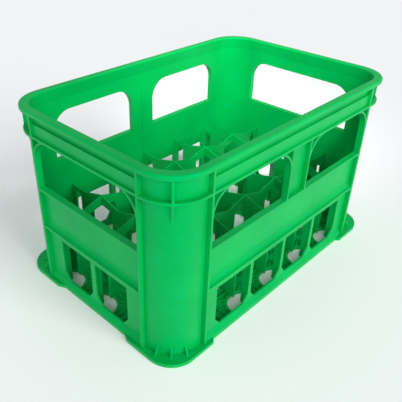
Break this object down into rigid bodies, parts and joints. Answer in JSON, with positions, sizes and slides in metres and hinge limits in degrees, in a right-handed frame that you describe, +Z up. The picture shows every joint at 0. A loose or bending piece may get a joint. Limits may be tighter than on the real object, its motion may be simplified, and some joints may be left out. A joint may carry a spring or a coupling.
{
  "type": "milk bottle crate",
  "caption": "Open-topped moulded plastic crate for milk bottles, with a grid of divided pockets, arched hand holes, ribbed rounded corners and spreading foot pads.",
  "frame": {"origin": "middle of the rectangle that the crate stands on", "axes": "+X along the long side, +Y from front to back, +Z up out of the mouth"},
  "size_m": [0.4344, 0.2898, 0.245],
  "materials": {
    "crate_plastic": "satin, as moulded"
  },
  "bodies": {
    "root": {"top_rim": "crate_plastic", "header_front": "crate_plastic", "mid_band_front": "crate_plastic", "base_rail_front": "crate_plastic", "mullion_front": "crate_plastic", "muntin_front_1": "crate_plastic", "muntin_front_2": "crate_plastic", "muntin_front_3": "crate_plastic", "header_right": "crate_plastic", "mid_band_right": "crate_plastic", "base_rail_right": "crate_plastic", "muntin_right": "crate_plastic", "header_back": "crate_plastic", "mid_band_back": "crate_plastic", "base_rail_back": "crate_plastic", "mullion_back": "crate_plastic", "muntin_back_1": "crate_plastic", "muntin_back_2": "crate_plastic", "muntin_back_3": "crate_plastic", "header_left": "crate_plastic", "mid_band_left": "crate_plastic", "base_rail_left": "crate_plastic", "muntin_left": "crate_plastic", "corner_post_front_left": "crate_plastic", "foot_pad_front_left": "crate_plastic", "corner_post_front_right": "crate_plastic", "foot_pad_front_right": "crate_plastic", "corner_post_back_right": "crate_plastic", "foot_pad_back_right": "crate_plastic", "corner_post_back_left": "crate_plastic", "foot_pad_back_left": "crate_plastic", "floor_row_1": "crate_plastic", "floor_ribs_1": "crate_plastic", "cross_dividers_1": "crate_plastic", "floor_row_2": "crate_plastic", "floor_ribs_2": "crate_plastic", "cross_dividers_2": "crate_plastic", "floor_row_3": "crate_plastic", "floor_ribs_3": "crate_plastic", "cross_dividers_3": "crate_plastic", "floor_row_4": "crate_plastic", "floor_ribs_4": "crate_plastic", "cross_dividers_4": "crate_plastic", "long_dividers_1": "crate_plastic", "long_dividers_2": "crate_plastic", "long_dividers_3": "crate_plastic", "long_dividers_4": "crate_plastic", "long_dividers_5": "crate_plastic", "long_dividers_6": "crate_plastic", "divider_stubs_front": "crate_plastic", "divider_stubs_right": "crate_plastic", "divider_stubs_back": "crate_plastic", "divider_stubs_left": "crate_plastic", "guide_ribs": "crate_plastic"}
  },
  "joints": []
}
